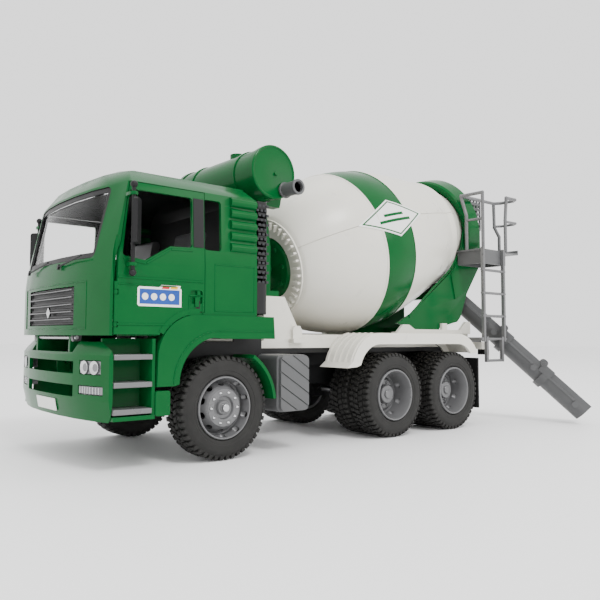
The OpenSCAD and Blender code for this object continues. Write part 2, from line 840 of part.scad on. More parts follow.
module water_tank() {
  color(green) {
    difference() {
      union() {
        rod_y(tank_x, tank_z, -tank_y + 4, tank_y - 4, tank_r - 0.8);
        for (y = [-30, 30]) rod_y(tank_x, tank_z, y - 1.2, y + 1.2, tank_r);
      }
      rod_y(tank_x, tank_z, -tank_y + 6, tank_y - 6, tank_r - 2.8);
    }
    translate([tank_x, 8, tank_z + tank_r - 2]) cylinder(h = 4.4, r = 6);
  }
}

module tank_end_caps() {
  color(green) both_sides() {
    translate([tank_x, tank_y, tank_z]) rotate([90, 0, 0]) rotate_extrude()
      polygon([[0, 1], [tank_r - 2.4, 1], [tank_r - 1.2, 0], [tank_r, 0.8], [tank_r, 6], [tank_r - 0.75, 6],
        [tank_r - 0.75, 3.9], [0, 3.9]]);
    rod_y(tank_x - 1.5, tank_z - 1, tank_y - 1.2, tank_y + 0.6, 1.4);
  }
}

nozzle_x = tank_x - 10;
nozzle_z = tank_z - 12.5;

module hose_nozzle() {
  color(grey) {
    difference() {
      union() {
        rod_y(nozzle_x, nozzle_z, tank_y, tank_y + 16, 5.2);
        rod_y(nozzle_x, nozzle_z, tank_y, tank_y + 1.6, 6);
        rod_y(nozzle_x, nozzle_z, tank_y + 13.6, tank_y + 16.4, 5.8);
      }
      rod_y(nozzle_x, nozzle_z, tank_y + 6, tank_y + 17, 4);
    }
    rod_y(nozzle_x, nozzle_z, tank_y + 5.9, tank_y + 12, 2.8);
  }
}

// Side outline of the rear frame's cheek (X, Z)
cheek = [[-38, 93], [-58, 102], [-80, 118], [-116, 143], [-134, 166], [-140, 190], [-166, 190],
  [-166, 160], [-163.5, 152], [-142, 124], [-131.5, 101], [-126, 96], [-99, 90.5], [-96, 86],
  [-60, 86], [-52, 91]];

// Radius that has to stay clear around the turning drum
function clear_r(s) = max(drum_radius(min(s, drum_len)) + 0.9, s > 181 && s < 195 ? 55 : 0, 45.2);

module rear_frame() {
  color(green) {
    difference() {
      union() {
        both_sides() {
          side_plate(cheek, 42.5, 45.5);
          side_plate([[-122, 118], [-116, 141], [-134, 164], [-140, 164], [-155, 150], [-140, 126]], 45.5, 46.6);
        }
        box([-131, -43, 119], [-120, 43, 125]);
        box([-100, -43, 86], [-70, 43, 90]);
        box([-140.5, -7, 121.5], [-125, 7, 127.5]);
      }
      in_drum() rotate_extrude() polygon(concat([[0, 90]], [for (s = [90 : 13 : 181]) [clear_r(s), s]],
        [[55, 182], [55, 194]], [for (s = [196 : 7 : 217]) [clear_r(s), s]], [[45.2, 235], [0, 235]]));
      translate([chute_x, 0, 100]) cylinder(h = 40, r = 3.5 + run);
    }
    // collar round the drum's mouth
    in_drum() rotate_extrude() polygon([[45.2, 213], [51.5, 211], [53, 213], [53, 230], [51, 231],
      [34.5, 231], [34.5, 229], [45.2, 229], [45.2, 225], [40.08, 225], [40.08, 221], [45.2, 221]]);
  }
}

module inlet_hopper() {
  color(green) difference() {
    union() {
      hull() {
        box([-186, -33, 221], [-157, 33, 222]);
        box([-176, -16, 186], [-161, 16, 187]);
      }
      both_sides() box([-184, 28, 180], [-163, 31, 206]);
      both_sides() box([-166, 28, 180], [-162, 42.5, 186]);
    }
    hull() {
      box([-184, -31, 222], [-159, 31, 223]);
      box([-174.4, -14.4, 185], [-162.6, 14.4, 186]);
    }
    in_drum() translate([0, 0, 210]) cylinder(h = 21.4, r = 60);
  }
}

module hopper_guard() {
  color(grey) difference() {
    box([-181, 35.2, 192], [-158, 36.8, 226]);
    for (i = [0 : 3], k = [0 : 5]) box([-179 + 5.2 * i, 34, 195 + 5 * k], [-176 + 5.2 * i, 38, 197.6 + 5 * k]);
  }
}

// ---- platform and ladder -------------------------------------------------

ladder_y = 76;
ladder_front = -124.4;
ladder_rear = -157.6;
ladder_pivot_z = 79.5;
post_r = 1.6;

module platform() {
  color(grey) {
    difference() {
      box([-165, 46.8, 151], [-126, 74.4, 165]);
      box([-163.5, 48.4, 148], [-127.5, 72.8, 163]);
    }
    box([-188, 46.8, 163.4], [-124, 74.4, 165]);
    box([-188, 57.5, 165], [-186.6, 74.4, 168]);
    box([-146, 46.6, 152], [-136, 47.4, 162]);
  }
}

// Tube along a list of points
module tube(points, r) {
  for (i = [0 : len(points) - 2]) let(a = points[i], d = points[i + 1] - a, l = norm(d))
    translate(a) rotate([0, acos(d[2] / l), atan2(d[1], d[0])]) cylinder(h = l, r = r, $fn = 16);
  for (i = [1 : len(points) - 2]) translate(points[i]) sphere(r = r + 0.12, $fn = 16);
}

rail_z = 219;

module handrail() {
  color(silver) {
    tube([[-128, 74.2, 165], [-128, 74.2, rail_z], [-128, 50, rail_z], [-184, 50, rail_z],
      [-184, 50.5, 194], [-187, 54, 184], [-187, 54, 165]], post_r);
    tube([[-128, 56, 165], [-128, 56, 199], [-128, 52, 212], [-128, 50, rail_z]], post_r);
    tube([[-128, 74.2, 194], [-128, 56, 194]], post_r * 0.8);
    tube([[-166, 74.2, 165], [-166, 74.2, 196], [-168.5, 74.2, rail_z], [-184, 74.2, rail_z],
      [-188, 70, rail_z], [-188, 56, rail_z], [-184, 50, rail_z]], post_r);
    tube([[-166, 74.2, 195], [-184, 74.2, 195], [-188, 70, 195], [-188, 56, 195], [-184, 50.5, 195]], post_r * 0.8);
  }
}

module ladder_rail(x, z0, z1) {
  box([x - 1.4, ladder_y - 1.5, z0], [x + 1.4, ladder_y + 1.5, z1]);
}

module ladder_upper() {
  color(silver) {
    for (x = [ladder_front, ladder_rear]) {
      difference() {
        ladder_rail(x, ladder_pivot_z - 2.4, 166);
        rod_x(ladder_y, ladder_pivot_z, x - 3, x + 3, 1.2 - 0.05);
      }
    }
    for (z = [101.1, 122.7, 144.4]) rod_x(ladder_y, z, ladder_rear - 2.5, ladder_front + 2.5, 1.3);
    rod_x(ladder_y, ladder_pivot_z, ladder_rear - 3.4, ladder_front + 6, 1.2);
    // stay from the cross beam to the ladder
    box([ladder_front + 2, 55, 78], [ladder_front + 5, 77.5, 81]);
    box([-150, 50, 76.5], [ladder_front + 5, 56, 79.6]);
  }
}

module ladder_lower() {
  color(silver) difference() {
    union() {
      for (x = [ladder_front - 4, ladder_rear + 4]) box([x - 1.5, ladder_y - 1.4, 58],
        [x + 1.5, ladder_y + 1.4, ladder_pivot_z + 2.2]);
      rod_x(ladder_y, 59.2, ladder_rear + 3, ladder_front - 3, 1.3);
    }
    rod_x(ladder_y, ladder_pivot_z, ladder_rear - 5, ladder_front + 5, 1.2 + run);
  }
}

// ---- chute ---------------------------------------------------------------

chute_x = -135;
chute_z = 137;       // underside of the chute at its swivel
joint_1 = 88;        // hinge pins, measured along the chute
joint_2 = 137;
chute_len = 193;
chute_wall = 1.6;

// Places children in the chute's frame: X down the chute, Z out of its open side
module in_chute() {
  translate([chute_x, 0, chute_z]) rotate([0, 0, 180 - chute_swing]) rotate([0, chute_slope, 0]) children();
}

// Cross-section of the trough, grown by g, as a (Y, Z) outline
module trough_2d(g) {
  translate([0, chute_r]) intersection() {
    union() {
      circle(r = chute_r + g, $fn = 48);
      translate([-chute_r - g, 0]) square([2 * (chute_r + g), chute_h]);
    }
    translate([-40, -40]) square([80, 40 + chute_h - chute_r]);
  }
}

// Trough along the chute from x0 to x1
module trough(x0, x1, g) {
  difference() {
    translate([x0, 0, 0]) rotate([90, 0, 90]) linear_extrude(x1 - x0) trough_2d(g);
    translate([x0 - 1, 0, 0]) rotate([90, 0, 90]) linear_extrude(x1 - x0 + 2) difference() {
      trough_2d(g - chute_wall);
    }
    translate([x0 - 1, -chute_r - g + chute_wall, chute_h - 0.1]) cube([x1 - x0 + 2, 2 * (chute_r + g - chute_wall), 2]);
  }
}

hinge_h = chute_h + 1.2;  // height of the fold pins above the underside

// Ears and pins at a section's lower end
module ears(x) {
  for (m = [0, 1]) mirror([0, m, 0]) {
    translate([x, chute_r + 0.05, hinge_h]) rotate([-90, 0, 0]) cylinder(h = 3.4, r = 1.5);
    hull() {
      translate([x, chute_r - chute_wall, hinge_h]) rotate([-90, 0, 0]) cylinder(h = chute_wall + 0.1, r = 3, $fn = 32);
      box([x - 5, chute_r - chute_wall, chute_h - 4], [x + 5, chute_r + 0.1, chute_h - 3.5]);
    }
  }
}

// Upper end of a section: ears outside the pins of the section above
module hook_ears(x) {
  for (m = [0, 1]) mirror([0, m, 0]) difference() {
    union() {
      translate([x, chute_r + 0.5, hinge_h]) rotate([-90, 0, 0]) cylinder(h = 2.2, r = 3.4);
      box([x, chute_r + 0.5, chute_h - 7], [x + 13, chute_r + 2.2, chute_h + 1]);
    }
    translate([x, chute_r - 1, hinge_h]) rotate([-90, 0, 0]) cylinder(h = 6, r = 1.5 + run);
  }
}

// Round bosses on the sides
module bosses(x) {
  for (m = [0, 1]) mirror([0, m, 0])
    translate([x, chute_r - 0.2, 9.6]) rotate([-90, 0, 0]) cylinder(h = 1.2, r = 3);
}

module side_ribs(x0, x1) {
  for (m = [0, 1]) mirror([0, m, 0]) box([x0, chute_r - 0.2, 11], [x1, chute_r + 1, 13]);
}

module chute_main() {
  color(grey) {
    difference() {
      union() {
        in_chute() {
          trough(-6, joint_1 + 7, 0);
          ears(joint_1);
          side_ribs(22, 74);
          bosses(joint_1 - 4);
        }
        translate([chute_x, 0, 128]) cylinder(h = 5.6, r = 7);
        translate([chute_x, 0, 119]) cylinder(h = 10, r = 3.5);
      }
      // the upper end stays under the collar
      translate([chute_x, 0, 136.5]) cylinder(h = 40, r = 26);
      in_chute() translate([-7.4, 0, chute_wall]) rotate([90, 0, 90]) linear_extrude(60)
        translate([0, chute_r]) circle(r = chute_r - chute_wall, $fn = 48);
    }
  }
}

module chute_section(j, x1) {
  in_chute() {
    trough(j + 8.4, x1, 0);
    trough(j + 5.2, j + 12, chute_wall + 0.5);
    trough(j + 8.4, j + 12, 0.6);
    bosses(x1 - 11);
    hook_ears(j);
    side_ribs(j + 12, x1 - 14);
  }
}

module chute_middle() {
  color(grey) {
    chute_section(joint_1, joint_2 + 7);
    in_chute() ears(joint_2);
  }
}

module chute_end() {
  color(grey) {
    chute_section(joint_2, chute_len);
  }
}

// ---- everything ----------------------------------------------------------

chassis_frame();
axles();
subframe();
rear_fenders();
bumper();
headlamps();
number_plate();
side_wells();
steps();
battery_box();
fuel_tank();
mudflaps();
tow_coupling();
rear_frame();
platform();
handrail();
ladder_upper();
ladder_lower();
inlet_hopper();
hopper_guard();
front_bearing();
water_tank();
tank_end_caps();
hose_nozzle();
engine_block();
cab_hinge_bar();
cab_shell();
cab_floor();
dashboard();
steering_wheel();
seats();
windscreen();
windscreen_frame();
grille();
air_intake();
door_left();
door_right();
mirror_left();
mirror_right();
front_left_tyre();
front_left_rim();
front_right_tyre();
front_right_rim();
mid_left_tyres();
mid_left_rim();
mid_right_tyres();
mid_right_rim();
rear_left_tyres();
rear_left_rim();
rear_right_tyres();
rear_right_rim();
drum_upper();
drum_lower();
drum_gear();
drum_hub();
mixing_blades();
crank();
chute_main();
chute_middle();
chute_end();
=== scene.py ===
import json
import math

import bmesh
import bpy
from mathutils import Matrix, Vector

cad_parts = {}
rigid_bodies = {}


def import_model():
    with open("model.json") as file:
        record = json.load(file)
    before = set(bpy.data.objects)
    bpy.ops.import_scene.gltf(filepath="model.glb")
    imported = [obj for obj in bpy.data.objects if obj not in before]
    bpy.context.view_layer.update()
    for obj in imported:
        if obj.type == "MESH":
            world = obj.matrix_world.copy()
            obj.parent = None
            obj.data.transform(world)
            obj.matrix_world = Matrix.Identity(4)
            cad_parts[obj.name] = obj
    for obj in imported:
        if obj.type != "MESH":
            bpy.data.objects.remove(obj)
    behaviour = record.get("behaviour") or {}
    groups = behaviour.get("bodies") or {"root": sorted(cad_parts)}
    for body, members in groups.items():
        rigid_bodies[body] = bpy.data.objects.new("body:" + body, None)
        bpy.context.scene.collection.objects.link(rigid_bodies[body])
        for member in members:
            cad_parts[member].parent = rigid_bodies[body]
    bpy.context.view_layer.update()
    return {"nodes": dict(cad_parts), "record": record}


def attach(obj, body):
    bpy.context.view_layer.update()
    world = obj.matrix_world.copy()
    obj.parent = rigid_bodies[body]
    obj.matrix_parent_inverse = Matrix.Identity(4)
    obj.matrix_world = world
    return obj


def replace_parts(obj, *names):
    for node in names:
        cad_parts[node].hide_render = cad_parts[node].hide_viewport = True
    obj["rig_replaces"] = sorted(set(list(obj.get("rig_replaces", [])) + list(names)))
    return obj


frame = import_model()
scene = bpy.context.scene

# Millimetres, as in the CAD: X forward, Y to the truck's left, Z up
MM = 0.001
AXLE_Z = 34.0
FRONT_AXLE_X = 165.0
REAR_AXLES = (("mid", -1.0), ("rear", -79.0))
SIDES = ((1, "left"), (-1, "right"))
TYRE_WIDTH = 21.0
TREAD_BLOCKS = 46
WHEEL_NUTS = 10
# how far each outer side stands from the mid-plane
FRONT_TYRE_OUT, FRONT_RIM_OUT = 74.5, 74.0
REAR_TYRES_OUT, REAR_RIM_OUT = (75.5, 52.5), 75.5
CAB_HALF_WIDTH = 77.0
CAB_FRONT_X = 257.0
BUMPER_FRONT_X = 256.5
BOX_FACES = ((0, 1, 3, 2), (4, 6, 7, 5), (0, 4, 5, 1), (2, 3, 7, 6), (0, 2, 6, 4), (1, 5, 7, 3))


# ---------------------------------------------------------------- materials
def material(name, color, rough=0.4, var=0.04, grain=900.0, bump=0.02, metallic=0.0,
             transmission=0.0, ior=1.5, mottle=60.0, rough_var=0.08, specular=0.5):
    """Moulded plastic, rubber or metal: uneven colour and roughness, with a fine surface grain."""
    m = bpy.data.materials.new(name)
    m.use_nodes = True
    nt = m.node_tree
    nt.nodes.clear()
    out = nt.nodes.new("ShaderNodeOutputMaterial")
    shader = nt.nodes.new("ShaderNodeBsdfPrincipled")
    nt.links.new(shader.outputs[0], out.inputs[0])
    shader.inputs["Metallic"].default_value = metallic
    shader.inputs["IOR"].default_value = ior
    shader.inputs["Specular IOR Level"].default_value = specular
    shader.inputs["Transmission Weight"].default_value = transmission
    place = nt.nodes.new("ShaderNodeTexCoord")
    patches = nt.nodes.new("ShaderNodeTexNoise")
    patches.inputs["Scale"].default_value = mottle
    patches.inputs["Detail"].default_value = 3.0
    nt.links.new(place.outputs["Object"], patches.inputs["Vector"])
    ramp = nt.nodes.new("ShaderNodeValToRGB")
    dark, light = ramp.color_ramp.elements
    dark.position = 0.3
    light.position = 0.7
    dark.color = [max(0.0, c * (1 - var)) for c in color] + [1]
    light.color = [min(1.0, c * (1 + var)) for c in color] + [1]
    nt.links.new(patches.outputs["Fac"], ramp.inputs[0])
    nt.links.new(ramp.outputs[0], shader.inputs["Base Color"])
    uneven = nt.nodes.new("ShaderNodeMapRange")
    uneven.inputs["To Min"].default_value = max(0.03, rough - rough_var)
    uneven.inputs["To Max"].default_value = min(1.0, rough + rough_var)
    nt.links.new(patches.outputs["Fac"], uneven.inputs["Value"])
    nt.links.new(uneven.outputs[0], shader.inputs["Roughness"])
    fine = nt.nodes.new("ShaderNodeTexNoise")
    fine.inputs["Scale"].default_value = grain
    fine.inputs["Detail"].default_value = 2.0
    nt.links.new(place.outputs["Object"], fine.inputs["Vector"])
    relief = nt.nodes.new("ShaderNodeBump")
    relief.inputs["Strength"].default_value = bump
    relief.inputs["Distance"].default_value = 0.0005
    nt.links.new(fine.outputs["Fac"], relief.inputs["Height"])
    nt.links.new(relief.outputs[0], shader.inputs["Normal"])
    return m


GREEN = material("green_plastic", (0.0015, 0.082, 0.018), rough=0.22, var=0.04, grain=1400,
                 bump=0.03, specular=0.11)
CREAM = material("cream_plastic", (0.70, 0.68, 0.61), rough=0.30, var=0.015, grain=1300,
                 bump=0.03, specular=0.35)
BLACK = material("black_plastic", (0.010, 0.010, 0.0105), rough=0.42, var=0.12, grain=1700,
                 bump=0.08, specular=0.22)
SILVER = material("silver_plastic", (0.135, 0.135, 0.138), rough=0.30, var=0.04, grain=2500,
                  bump=0.05, metallic=0.25, specular=0.45)
GREY = material("grey_plastic", (0.085, 0.086, 0.088), rough=0.38, var=0.04, grain=1500,
                bump=0.06, specular=0.35)
DARK = material("dark_grey_plastic", (0.030, 0.031, 0.034), rough=0.5, var=0.1, grain=1500,
                bump=0.10, specular=0.2)
RUBBER = material("tyre_rubber", (0.017, 0.0165, 0.0155), rough=0.62, var=0.22, grain=2200,
                  bump=0.25, mottle=110, specular=0.25)
STEEL = material("axle_steel", (0.45, 0.45, 0.46), rough=0.28, var=0.05, grain=1800, bump=0.04,
                 metallic=1.0)
CHROME = material("chrome", (0.62, 0.62, 0.63), rough=0.14, var=0.03, grain=900, bump=0.02,
                  metallic=1.0, rough_var=0.04)
GLASS = material("clear_pane", (0.97, 0.98, 0.98), rough=0.05, var=0.005, grain=300, bump=0.0,
                 transmission=1.0, ior=1.08, rough_var=0.02, specular=0.3)
REFLECTOR = material("lamp_reflector", (0.22, 0.22, 0.23), rough=0.22, var=0.05, grain=900,
                     bump=0.04, metallic=0.7, specular=0.4)
WHITE = material("white_label", (0.82, 0.82, 0.80), rough=0.35, var=0.02, grain=1200, specular=0.3)
BLUE = material("blue_label", (0.012, 0.060, 0.30), rough=0.3, var=0.05, grain=1200, specular=0.3)
RED = material("red_label", (0.45, 0.02, 0.02), rough=0.3, var=0.05, grain=1200, specular=0.3)
YELLOW = material("yellow_label", (0.70, 0.42, 0.02), rough=0.3, var=0.05, grain=1200, specular=0.3)
FLOOR = material("floor", (0.95, 0.95, 0.95), rough=0.55, var=0.004, grain=200, bump=0.0, mottle=4,
                 rough_var=0.02, specular=0.2)

SLOT_MAT = {"green_plastic": GREEN, "cream_plastic": CREAM, "black_plastic": BLACK,
            "silver_plastic": SILVER, "grey_plastic": GREY, "tyre_rubber": RUBBER,
            "axle_steel": STEEL, "clear_pane": GLASS, "lamp_silver": REFLECTOR, "plate_white": WHITE}
SLOT_OF = {s["node"]: s["material_slot"] for s in frame["record"]["subparts"]}
BODY_OF = {n: b for b, ns in frame["record"]["behaviour"]["bodies"].items() for n in ns}


# ---------------------------------------------------------------- mesh helpers
def finish_mesh(name, bm, body, mats, bevel=0.0, segments=2, angle=32, millimetres=True):
    """Turns a bmesh into a piece with rounded edges that rides on a body. `mats` is one or a list."""
    if millimetres:
        bmesh.ops.scale(bm, vec=(MM, MM, MM), verts=bm.verts)
    bmesh.ops.recalc_face_normals(bm, faces=bm.faces)
    me = bpy.data.meshes.new(name)
    bm.to_mesh(me)
    bm.free()
    ob = bpy.data.objects.new(name, me)
    scene.collection.objects.link(ob)
    for m in mats if isinstance(mats, list) else [mats]:
        me.materials.append(m)
    for p in me.polygons:
        p.use_smooth = True
    me.set_sharp_from_angle(angle=math.radians(angle))
    if bevel:
        add_bevel(ob, bevel, segments, angle)
    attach(ob, body)
    return ob


def add_bevel(ob, width, segments=2, angle=32):
    b = ob.modifiers.new("edge", "BEVEL")
    b.width = width * MM
    b.segments = segments
    b.limit_method = "ANGLE"
    b.angle_limit = math.radians(angle)
    b.harden_normals = False
    b.miter_outer = "MITER_ARC"


def refine(node, bevel):
    """The CAD node's own shape as a new piece with rounded edges."""
    bm = bmesh.new()
    bm.from_mesh(frame["nodes"][node].data)
    bmesh.ops.remove_doubles(bm, verts=bm.verts, dist=2e-6)
    bmesh.ops.dissolve_limit(bm, angle_limit=math.radians(0.6), verts=bm.verts, edges=bm.edges)
    slot = SLOT_OF[node]
    ob = finish_mesh(node + ".piece", bm, BODY_OF[node], SLOT_MAT[slot], bevel=bevel,
                     millimetres=False)
    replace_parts(ob, node)
    return ob


def arc(cx, cy, r, angles):
    """Points on a circle at the given angles in degrees."""
    return [(cx + r * math.cos(math.radians(a)), cy + r * math.sin(math.radians(a))) for a in angles]


def rect(x0, z0, x1, z1):
    return [(x0, z0), (x1, z0), (x1, z1), (x0, z1)]


def box_faces(bm, vs):
    """The six faces of a box whose corners run through X, then Y, then Z."""
    for face in BOX_FACES:
        bm.faces.new([vs[i] for i in face])


def add_box(bm, lo, hi, mat=Matrix.Identity(4)):
    corners = [(x, y, z) for x in (lo[0], hi[0]) for y in (lo[1], hi[1]) for z in (lo[2], hi[2])]
    box_faces(bm, [bm.verts.new(mat @ Vector(c)) for c in corners])


def add_revolve(bm, profile, mat=Matrix.Identity(4), n=96, a0=0.0, a1=360.0, close=True):
    """A (radius, height) outline turned about the local Z axis. `close` joins its two ends."""
    full = abs(a1 - a0 - 360) < 1e-6
    steps = n if full else n + 1
    rings = []
    for i in range(steps):
        a = math.radians(a0 + (a1 - a0) * i / n)
        rings.append([bm.verts.new(mat @ Vector((r * math.cos(a), r * math.sin(a), h))) for r, h in profile])
    k = len(profile)
    for i in range(n):
        p, q = rings[i], rings[(i + 1) % steps]
        for a in range(k if close else k - 1):
            b = (a + 1) % k
            bm.faces.new((p[a], q[a], q[b], p[b]))
    if not full and close:
        bm.faces.new(rings[0])
        bm.faces.new(list(reversed(rings[-1])))
    bmesh.ops.remove_doubles(bm, verts=bm.verts, dist=1e-5)


def join_outlines(bm, lo, hi):
    """Closes two matching rings of vertices into a solid."""
    bm.faces.new(lo)
    bm.faces.new(list(reversed(hi)))
    for i in range(len(lo)):
        j = (i + 1) % len(lo)
        bm.faces.new((lo[i], hi[i], hi[j], lo[j]))


def add_prism(bm, pts, h0, h1, mat=Matrix.Identity(4)):
    """A 2-D outline extruded from h0 to h1 along local Z."""
    lo = [bm.verts.new(mat @ Vector((x, y, h0))) for x, y in pts]
    hi = [bm.verts.new(mat @ Vector((x, y, h1))) for x, y in pts]
    join_outlines(bm, lo, hi)


def add_tube(bm, pts, r, n=16):
    """A round tube along a list of points, with one mitred ring at each."""
    pts = [Vector(p) for p in pts]
    rings = []
    ref = None
    for i, p in enumerate(pts):
        d = (pts[min(i + 1, len(pts) - 1)] - pts[max(i - 1, 0)]).normalized()
        if ref is None:
            ref = d.orthogonal().normalized()
        u = (ref - d * ref.dot(d)).normalized()
        ref = u
        v = d.cross(u)
        turns = [2 * math.pi * k / n for k in range(n)]
        rings.append([bm.verts.new(p + (u * math.cos(t) + v * math.sin(t)) * r) for t in turns])
    for a, b in zip(rings, rings[1:]):
        for k in range(n):
            bm.faces.new((a[k], a[(k + 1) % n], b[(k + 1) % n], b[k]))
    bm.faces.new(list(reversed(rings[0])))
    bm.faces.new(rings[-1])


def smooth_path(pts, radius, n=5):
    """Rounds the corners of a path."""
    pts = [Vector(p) for p in pts]
    out = [pts[0]]
    for a, p, b in zip(pts, pts[1:], pts[2:]):
        ra = min(radius, (a - p).length * 0.45)
        rb = min(radius, (b - p).length * 0.45)
        s, e = p + (a - p).normalized() * ra, p + (b - p).normalized() * rb
        for i in range(n + 1):
            t = i / n
            out.append(s * (1 - t) ** 2 + p * 2 * t * (1 - t) + e * t * t)
    out.append(pts[-1])
    return out


def side_matrix(side):
    """Local (x, y, z) with z pointing outwards from that side of the truck; x is +X and y is up."""
    return Matrix(((1, 0, 0, 0), (0, 0, side, 0), (0, 1, 0, 0), (0, 0, 0, 1)))


def wheel_matrix(x, side):
    return Matrix.Translation((x, 0, AXLE_Z)) @ side_matrix(side)


# ---------------------------------------------------------------- tyres and rims
def tyre(bm, mat, out):
    """One tyre whose outer side is at height `out` along the axle, with grooved tread blocks."""
    mid = out - TYRE_WIDTH / 2
    prof = [(20.75, -8.6), (21.6, -9.6), (23.2, -10.05), (24.0, -10.0), (24.3, -10.35), (27.5, -10.5),
            (29.3, -10.35), (29.6, -10.15), (30.8, -9.9), (32.1, -9.0), (32.3, -7.5), (32.35, 0)]
    prof = prof + [(r, -h) for r, h in reversed(prof[:-1])] + [(20.75, 0)]
    add_revolve(bm, [(r, mid + h) for r, h in prof], mat)
    step = 360.0 / TREAD_BLOCKS

    def block(outline, a, width, skew):
        """A tread block: a (height, radius) outline spread over an angle, leaning by skew degrees."""
        rows = []
        for s in (-0.5, 0.5):
            row = []
            for h, r in outline:
                t = math.radians(a + s * width + skew * h)
                row.append(bm.verts.new(mat @ Vector((r * math.cos(t), r * math.sin(t), mid + h))))
            rows.append(row)
        n = len(outline)
        bm.faces.new(rows[0])
        bm.faces.new(list(reversed(rows[1])))
        for i in range(n):
            bm.faces.new((rows[0][i], rows[0][(i + 1) % n], rows[1][(i + 1) % n], rows[1][i]))

    for i in range(TREAD_BLOCKS):
        a = i * step
        for s in (-1, 1):
            shoulder = [(s * 5.2, 32.0), (s * 5.2, 34.0), (s * 8.9, 33.85), (s * 9.9, 33.0), (s * 10.25, 31.2),
                        (s * 9.6, 30.9)]
            block(shoulder, a + (0 if s > 0 else step / 2), step * 0.60, 0.0)
            block([(s * 0.5, 32.0), (s * 0.5, 34.0), (s * 4.4, 34.0), (s * 4.4, 32.0)],
                  a + (step / 2 if s > 0 else 0), step * 0.72, s * 0.55)


def bake_hole(ob, cutter_bm):
    """Cuts a bmesh in millimetres out of a piece and applies it."""
    bmesh.ops.scale(cutter_bm, vec=(MM, MM, MM), verts=cutter_bm.verts)
    bmesh.ops.recalc_face_normals(cutter_bm, faces=cutter_bm.faces)
    me = bpy.data.meshes.new("cut")
    cutter_bm.to_mesh(me)
    cutter_bm.free()
    cut = bpy.data.objects.new("cut", me)
    scene.collection.objects.link(cut)
    mod = ob.modifiers.new("holes", "BOOLEAN")
    mod.operation = "DIFFERENCE"
    mod.solver = "EXACT"
    mod.object = cut
    bpy.context.view_layer.update()
    dg = bpy.context.evaluated_depsgraph_get()
    new = bpy.data.meshes.new_from_object(ob.evaluated_get(dg))
    ob.modifiers.remove(mod)
    old = ob.data
    ob.data = new
    bpy.data.meshes.remove(old)
    bpy.data.objects.remove(cut)
    for p in ob.data.polygons:
        p.use_smooth = True
    ob.data.set_sharp_from_angle(angle=math.radians(32))


def oval(bm, mat, a, b, h0, h1, n=20):
    """An oval plug along local Z with half-axes a and b."""
    turns = [2 * math.pi * i / n for i in range(n)]
    add_prism(bm, [(a * math.cos(t), b * math.sin(t)) for t in turns], h0, h1, mat)


def rim(name, node, x, side, front):
    """A rim with its leaning holes, wheel nuts, hub cap and a black disc of painted shade behind its holes."""
    mat = wheel_matrix(x, side)
    body = BODY_OF[node]
    out = FRONT_RIM_OUT if front else REAR_RIM_OUT
    bm = bmesh.new()
    if front:
        prof = [(2.62, out - 19), (7, out - 19), (7, out - 9), (13, out - 7), (18.3, out - 12), (18.3, out - 19),
                (20.6, out - 19), (20.6, out - 0.6), (20.2, out), (19.5, out), (19.1, out - 0.7), (18.9, out - 3),
                (18.2, out - 4.2), (18.0, out - 8.6), (17.4, out - 9.0), (13.2, out - 2.6), (12.6, out - 2.1),
                (12.2, out - 1.5), (8.3, out - 1.2), (7.6, out - 1.6), (6.9, out - 3.2), (4.9, out - 3.6),
                (4.6, out - 2.6), (4.2, out - 1.9), (2.62, out - 1.7)]
        holes, ring, hole_half, lean, depth = 10, 15.5, 2.3, math.radians(56), out - 5.8
        nut_r, nut_h = 10.2, out - 1.3
        cap = [(0, out - 3.4), (2.9, out - 3.4), (3.1, out - 1.6), (2.7, out - 0.9), (1.6, out - 0.3),
               (0, out - 0.1)]
        back = out - 13.5
    else:
        disc = out - 15
        inner = out - 43
        prof = [(2.62, inner), (7, inner), (7, disc - 3), (13.5, disc - 3), (18.4, disc - 6), (18.4, inner),
                (20.6, inner), (20.6, out - 0.6), (20.2, out), (19.4, out), (18.9, out - 0.8), (18.6, out - 3.4),
                (17.9, out - 4.6), (17.7, out - 9.6), (17.1, out - 12), (16.6, disc - 1.2), (15.2, disc - 1.4),
                (12.0, disc + 1.6), (11.4, disc + 2.0), (8.0, disc + 2.0), (7.6, disc + 2.6), (7.4, disc + 5.4),
                (6.9, disc + 6.0), (2.62, disc + 6.2)]
        holes, ring, hole_half, lean, depth = 8, 13.8, 1.9, math.radians(40), disc
        nut_r, nut_h = 9.6, disc + 1.9
        cap = [(0, disc + 5.9), (3.6, disc + 5.9), (3.7, disc + 6.9), (3.2, disc + 7.4), (1.2, disc + 7.7),
               (0, disc + 7.7)]
        back = out - 22.5
    add_revolve(bm, prof, mat)
    ob = finish_mesh(name, bm, body, SILVER)
    cb = bmesh.new()
    for i in range(holes):
        turn = Matrix.Rotation(2 * math.pi * (i + 0.5) / holes, 4, "Z")
        m = mat @ turn @ Matrix.Translation((ring, 0, depth)) @ Matrix.Rotation(lean, 4, "Y")
        oval(cb, m, hole_half, 2.3, -3.2, 6)
    bake_hole(ob, cb)
    add_bevel(ob, 0.22, 2, 35)
    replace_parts(ob, node)
    bm = bmesh.new()
    nut = [(0, 0), (1.25, 0), (1.25, 0.35), (0.95, 0.9), (0.5, 1.35), (0, 1.45)]
    for i in range(WHEEL_NUTS):
        turn = Matrix.Rotation(2 * math.pi * i / WHEEL_NUTS, 4, "Z")
        add_revolve(bm, nut, mat @ turn @ Matrix.Translation((nut_r, 0, nut_h - 0.2)), n=18, close=False)
    finish_mesh(name + ".nuts", bm, body, CHROME if front else SILVER)
    bm = bmesh.new()
    add_revolve(bm, cap, mat, n=40, close=False)
    finish_mesh(name + ".cap", bm, body, SILVER)
    # painted shade: a black disc behind the holes stands in for the shadowed inside of the wheel
    bm = bmesh.new()
    add_revolve(bm, [(7.2, back), (18.2, back), (18.2, back - 0.6), (7.2, back - 0.6)], mat, n=48)
    finish_mesh(name + ".painted_shade", bm, body, BLACK)


